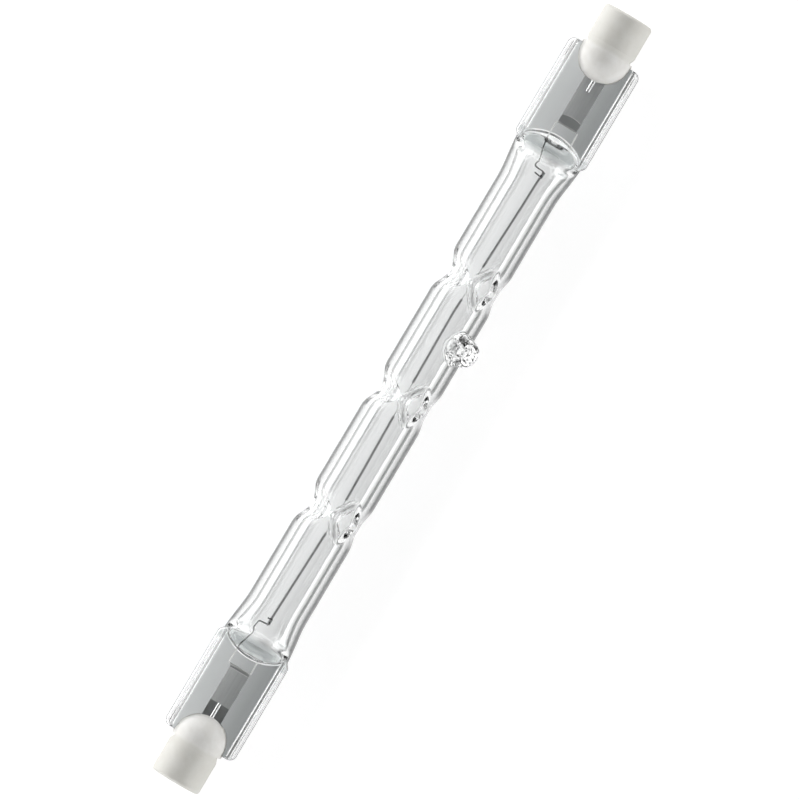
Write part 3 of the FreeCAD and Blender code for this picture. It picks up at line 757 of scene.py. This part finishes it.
# Each outer lead is a pin of thicker wire that runs from the hollow shank of the contact into the
# flat glass, where it is welded to the foil.
PIN_RADIUS = 0.3
PIN_SIDES = 24
PIN_STEP = 0.1
PIN_BENDS = (8.0, 9.6)
PIN_BEND = 0.6
PIN_TIPS = {"left": (11.95, 0.14), "right": (11.5, -0.3)}
for end, side in (("left", -1), ("right", 1)):
    reach, y = PIN_TIPS[end]
    low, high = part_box(end + "_outer_lead")
    start = HALF_LENGTH - max(abs(low.x), abs(high.x)) / MM
    corners = [(start, 0), (PIN_BENDS[0], 0), (PIN_BENDS[1], y), (reach, y)]
    line = rounded_line([from_end(side, *corner) for corner in corners], PIN_BEND, PIN_STEP)
    rings = wire_along(line, PIN_RADIUS, PIN_SIDES)
    faces = ring_faces(len(rings), PIN_SIDES, 0, False)
    pin = new_piece(end + "_pin", laid_down(rings).reshape(-1, 3), faces)
    pin.data.materials.append(wire)
    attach(pin, "root")
    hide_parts(end + "_outer_lead")

# The sealing foil is a strip of molybdenum rolled thinner than paper and etched to a feather edge
# on both sides. It lies in the middle of the flat glass and joins the two leads.
FOIL_HALF_WIDTH = 1.44
FOIL_HALF_THICKNESS = 0.022
FOIL_PLACES = {"left": (7.0, 17.1, 0.09), "right": (7.0, 16.75, -0.38)}
FOIL_ROWS = 60
FOIL_COLUMNS = 48
CRINKLE_HEIGHT = 0.012
FOIL_PAINTED_SHADE_SIDE = (0.66, 0.68, 0.68)
FOIL_PAINTED_LIT_SIDE = (0.93, 0.95, 0.94)
ROLLED_LINES = (0.45, 0.46, 0.46)
AT_PIN_WELD = (0.3, 0.31, 0.31)
PIN_WELD_PLACES = (11.95, 11.8)
PAST_LEAD_WELD = (0.4, 0.41, 0.41)
WELD_SEAM = (0.95, 0.95, 0.95)
LEFT_WELD = 16.8
RIGHT_WELD = 15.42
WELD_MIDDLE = 0.38
WELD_BULGE = 0.12

moly, tree, surface = new_material("foil")
surface.inputs["Metallic"].default_value = 0.15
place = lamp_place(tree)
axes = node(tree, "SeparateXYZ", Vector=place).outputs
inwards = sized(tree, "SUBTRACT", HALF_LENGTH, sized(tree, "ABSOLUTE", axes["X"]))
right_end = sized(tree, "GREATER_THAN", axes["X"], 0.0)
rolled = placed(tree, drawn_lines, Place=place, Fineness=3.0, Depth=0.5)
# Across its width the foil is painted darker towards -Y and lighter towards +Y, as painted shade.
shade = blended(tree, faded(tree, axes["Y"], -1.6, 1.6), FOIL_PAINTED_SHADE_SIDE, FOIL_PAINTED_LIT_SIDE)
shade = blended(tree, sized(tree, "MULTIPLY", rolled["Mask"], 0.25), shade, ROLLED_LINES)
at_pin = faded(tree, axes["X"], PIN_WELD_PLACES[0] - HALF_LENGTH, PIN_WELD_PLACES[1] - HALF_LENGTH)
shade = blended(tree, at_pin, shade, AT_PIN_WELD)
off_middle = sized(tree, "POWER", sized(tree, "ADD", axes["Y"], WELD_MIDDLE), 2.0)
nearer = sized(tree, "MULTIPLY_ADD", off_middle, WELD_BULGE, RIGHT_WELD - LEFT_WELD)
weld = sized(tree, "MULTIPLY_ADD", right_end, nearer, LEFT_WELD)
past_weld = sized(tree, "SUBTRACT", inwards, weld)
shade = blended(tree, faded(tree, past_weld, -0.03, 0.03), shade, PAST_LEAD_WELD)
shade = blended(tree, faded(tree, sized(tree, "ABSOLUTE", past_weld), 0.08, 0.04), shade, WELD_SEAM)
tree.links.new(shade, surface.inputs["Base Color"])
dressed(tree, surface, rolled, 0.35, 0.55)
for end, side in (("left", -1), ("right", 1)):
    start, stop, y = FOIL_PLACES[end]
    inwards = np.linspace(start, stop, FOIL_ROWS)[:, None]
    turn = 2 * np.pi * (np.arange(FOIL_COLUMNS) + 0.5)[None, :] / FOIL_COLUMNS
    across, up = squared_ellipse(turn, FOIL_HALF_WIDTH, FOIL_HALF_THICKNESS, 2)
    crinkle = CRINKLE_HEIGHT * np.sin(2.1 * inwards + 1.7 * across) * np.sin(0.9 * inwards)
    x = side * (HALF_LENGTH - inwards) + 0 * across
    rings = np.stack([x, y + across + 0 * inwards, up + crinkle], axis=-1)
    middle = rings.mean(axis=1, keepdims=True)
    rings = np.concatenate([middle[:1] + 0 * rings[:1], rings, middle[-1:] + 0 * rings[-1:]])
    faces = ring_faces(len(rings), FOIL_COLUMNS, 0, side > 0)
    strip = new_piece(end + "_feathered_foil", laid_down(rings).reshape(-1, 3), faces)
    strip.data.materials.append(moly)
    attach(strip, "root")
    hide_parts(end + "_foil")

# The ceramic bases are pressed from white powder and fired. Their skin is dry and faintly speckled.
# The barrels are painted a little greyer than the collars, as painted shade.
CERAMIC_DARK = (0.7, 0.69, 0.66, 1)
CERAMIC_LIGHT = (0.765, 0.76, 0.74, 1)
BARREL_PAINTED_SHADE = (0.51, 0.5, 0.44)
BARREL_SHADE_SHARE = 0.4
BARREL_STOP = (5.9, 5.2)
FLECK = (0.5, 0.48, 0.44)

porcelain, tree, surface = new_material("white_ceramic")
place = lamp_place(tree)
looks = placed(tree, mottle, Place=place, Fineness=0.55, Depth=0.25, Dark=CERAMIC_DARK, Light=CERAMIC_LIGHT)
dressed(tree, surface, looks, 0.5, 0.7)
along = sized(tree, "ABSOLUTE", node(tree, "SeparateXYZ", Vector=place).outputs["X"])
inwards = sized(tree, "SUBTRACT", HALF_LENGTH, along)
# Painted shade: the barrels are blended towards a darker, yellowish grey.
painted_shade_on_barrel = sized(tree, "MULTIPLY", faded(tree, inwards, *BARREL_STOP), BARREL_SHADE_SHARE)
skin = blended(tree, painted_shade_on_barrel, looks["Color"], BARREL_PAINTED_SHADE)
pores = node(tree, "TexVoronoi", Vector=place, Scale=3.2)
fleck = faded(tree, pores.outputs["Distance"], 0.09, 0.05)
tree.links.new(blended(tree, fleck, skin, FLECK), surface.inputs["Base Color"])


def recoated(name, material):
    """A CAD node's object with that material in place of its own."""
    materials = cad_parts[name].data.materials
    materials.clear()
    materials.append(material)


for end in ("left", "right"):
    recoated(end + "_ceramic_base", porcelain)

# Cement fills the slot of each base and holds the flat glass in it. It is a grey-white paste that
# dries rough and sandy.
CEMENT_DARK = (0.52, 0.5, 0.46, 1)
CEMENT_LIGHT = (0.72, 0.7, 0.66, 1)

paste, tree, surface = new_material("cement")
place = lamp_place(tree)
looks = placed(tree, mottle, Place=place, Fineness=1.6, Depth=0.8, Dark=CEMENT_DARK, Light=CEMENT_LIGHT)
dressed(tree, surface, looks, 0.85, 1.0)
for end in ("left", "right"):
    recoated(end + "_cement", paste)

# Each contact is a turned metal rivet in the bottom of the base's recess, with the fine rings that
# the lathe leaves on its face.
RIVET_DARK = (0.5, 0.48, 0.45, 1)
RIVET_LIGHT = (0.74, 0.72, 0.68, 1)
LATHE_RING_HEIGHT = 0.02

rivet, tree, surface = new_material("contact")
surface.inputs["Metallic"].default_value = 1
place = lamp_place(tree)
looks = placed(tree, mottle, Place=place, Fineness=1.2, Depth=0.3, Dark=RIVET_DARK, Light=RIVET_LIGHT)
dressed(tree, surface, looks, 0.22, 0.4)
waves = node(tree, "TexWave", wave_type="RINGS", rings_direction="X", Vector=place, Scale=2.4, Distortion=0.3)
rings_left = node(tree, "Bump", Height=waves.outputs["Fac"], Strength=0.35, Normal=looks["Normal"])
rings_left.inputs["Distance"].default_value = LATHE_RING_HEIGHT * MM
tree.links.new(rings_left.outputs["Normal"], surface.inputs["Normal"])
for end in ("left", "right"):
    recoated(end + "_contact", rivet)

# The table is a plain white sheet. The camera, and what glass and metal show of it, see it lit up
# to white, and its diffuse part keeps the lamp's soft shadow. Under the tube a painted light and
# shadow pattern is added to that glow: darker towards both sides and lighter in the middle, standing
# in for light that has come through the tube.
FLOOR_HALF_SIZE = 2.0
FLOOR_GREY = (0.47, 0.47, 0.47, 1)
FLOOR_LIFT = 0.76
LIGHT_HALF_WIDTH = (2.9 * MM, 3.1 * MM)
LIGHT_HALF_LENGTH = (34 * MM, 37 * MM)
LIGHT_AT_RINGS = 0.25
MIDDLE_GAIN = 0.03
SIDE_LOSS = 0.5
SIDE_PLACES = (0.6 * MM, 3 * MM)
RIM_LOSS = 0.2
RIM_PLACES = (2.45 * MM, 2.75 * MM)

floor_mesh = bpy.data.meshes.new("floor")
corners = FLOOR_HALF_SIZE * np.array([(-1, -1, 0), (1, -1, 0), (1, 1, 0), (-1, 1, 0)])
floor_mesh.from_pydata((corners + [0, 0, cad_low.z]).tolist(), [], [(0, 1, 2, 3)])
floor = bpy.data.objects.new("floor", floor_mesh)
bpy.context.scene.collection.objects.link(floor)
floor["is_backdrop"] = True
paper, tree, surface = new_material("floor_paper")
surface.inputs["Base Color"].default_value = FLOOR_GREY
surface.inputs["Roughness"].default_value = 0.9
surface.inputs["Specular IOR Level"].default_value = 0.1
surface.inputs["Emission Color"].default_value = (1, 1, 1, 1)
ray = node(tree, "LightPath").outputs
seen = sized(tree, "MAXIMUM", ray["Is Camera Ray"], ray["Is Glossy Ray"])
seen = sized(tree, "MAXIMUM", seen, ray["Is Transmission Ray"])
axes = node(tree, "SeparateXYZ", Vector=node(tree, "TexCoord").outputs["Object"]).outputs
along = sized(tree, "ABSOLUTE", axes["X"])
tube_line = TUBE_RADIUS * MM * math.tan(LEAN)
beside = sized(tree, "ABSOLUTE", sized(tree, "SUBTRACT", axes["Y"], tube_line))
past_ring = sized(tree, "ABSOLUTE", sized(tree, "SUBTRACT", along, DIMPLE_PITCH * MM))
off_ring = faded(tree, sized(tree, "MINIMUM", along, past_ring), *(MM * place for place in RING_PLACES))
under_tube = faded(tree, beside, *reversed(LIGHT_HALF_WIDTH))
under_tube = sized(tree, "MULTIPLY", under_tube, faded(tree, along, *reversed(LIGHT_HALF_LENGTH)))
at_rings = sized(tree, "MULTIPLY_ADD", off_ring, 1 - LIGHT_AT_RINGS, LIGHT_AT_RINGS)
under_tube = sized(tree, "MULTIPLY", under_tube, at_rings)
change = sized(tree, "MULTIPLY_ADD", faded(tree, beside, *SIDE_PLACES), -SIDE_LOSS, MIDDLE_GAIN)
change = sized(tree, "MULTIPLY_ADD", faded(tree, beside, *RIM_PLACES), -RIM_LOSS, change)
lit = sized(tree, "MULTIPLY_ADD", under_tube, change, FLOOR_LIFT)
tree.links.new(sized(tree, "MULTIPLY", seen, lit), surface.inputs["Emission Strength"])
floor_mesh.materials.append(paper)

# Soft boxes stand on the table all round the lamp, under a dim ceiling, with a strip over each of the
# two long ones. Light goes round many times inside the thick quartz of the exhaust tip and the
# dimples before it leaves, so it may bounce more often than usual.
BOUNCES_IN_QUARTZ = 40
BOUNCES_IN_GLOSS = 12
CEILING = (0.09, 0.09, 0.09, 1)
# Azimuth from X, distance, length, lowest and highest edge over the table, in metres, and radiance.
SOFT_BOXES = {
    "left_soft_box": (math.pi / 2, 0.25, 1.2, 0.001, 0.11, 5.2),
    "left_strip": (math.pi / 2, 0.25, 1.2, 0.18, 0.225, 4.5),
    "right_soft_box": (-math.pi / 2, 0.25, 1.2, 0.001, 0.1, 3.4),
    "right_strip": (-math.pi / 2, 0.25, 1.2, 0.18, 0.225, 3.5),
    "far_soft_box": (0, 0.5, 0.3, 0.001, 0.2, 3.5),
    "near_soft_box": (math.pi, 0.5, 0.3, 0.001, 0.2, 3.5),
}

world = bpy.data.worlds.new("studio")
bpy.context.scene.world = world
world.use_nodes = True
world.node_tree.nodes["Background"].inputs["Color"].default_value = CEILING
world.node_tree.nodes["Background"].inputs["Strength"].default_value = 1


def soft_box(name, azimuth, distance, length, low, high, radiance):
    """A long lamp that stands at an azimuth from X between two heights over the table, and shines
    level at the bulb."""
    data = bpy.data.lights.new(name, "AREA")
    data.shape = "RECTANGLE"
    data.size = length
    data.size_y = high - low
    data.energy = radiance * math.pi * length * (high - low)
    box = bpy.data.objects.new(name, data)
    box.location = (distance * math.cos(azimuth), distance * math.sin(azimuth), cad_low.z + (low + high) / 2)
    box.rotation_euler = (math.pi / 2, 0, azimuth + math.pi / 2)
    box.visible_camera = False
    bpy.context.scene.collection.objects.link(box)


for name, placing in SOFT_BOXES.items():
    soft_box(name, *placing)
cycles = bpy.context.scene.cycles
cycles.max_bounces = BOUNCES_IN_QUARTZ
cycles.transmission_bounces = BOUNCES_IN_QUARTZ
cycles.glossy_bounces = BOUNCES_IN_GLOSS

# The camera looks square on to the webs from a metre and a half away, with a long lens. It is rolled
# so that the lamp runs up to the right.
SCALE = 7.565
PHOTO_WIDTH = 799
PHOTO_MIDDLE = (399.5, 400)
LAMP_MIDDLE = (402.2, 398.9)
AXIS_SLOPE = math.radians(59.27)
DISTANCE = 1500
SENSOR = 36
up_axis = Vector((0, math.cos(LEAN), math.sin(LEAN)))
to_camera = Vector((0, -math.sin(LEAN), math.cos(LEAN)))
along_axis = Vector((1, 0, 0))
right = math.cos(AXIS_SLOPE) * along_axis - math.sin(AXIS_SLOPE) * up_axis
up = math.sin(AXIS_SLOPE) * along_axis + math.cos(AXIS_SLOPE) * up_axis
target = (PHOTO_MIDDLE[0] - LAMP_MIDDLE[0]) / SCALE * MM * right
target -= (PHOTO_MIDDLE[1] - LAMP_MIDDLE[1]) / SCALE * MM * up
camera_data = bpy.data.cameras.new("camera")
camera_data.sensor_width = SENSOR
camera_data.lens = SENSOR * DISTANCE / (PHOTO_WIDTH / SCALE)
camera = bpy.data.objects.new("camera", camera_data)
bpy.context.scene.collection.objects.link(camera)
turn = Matrix((right, up, to_camera)).transposed()
camera.matrix_world = Matrix.Translation(target + DISTANCE * MM * to_camera) @ turn.to_4x4()
camera_data.clip_start = 0.01
camera_data.clip_end = 10
bpy.context.scene.camera = camera
bpy.context.scene.view_settings.view_transform = "Standard"

low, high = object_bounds()
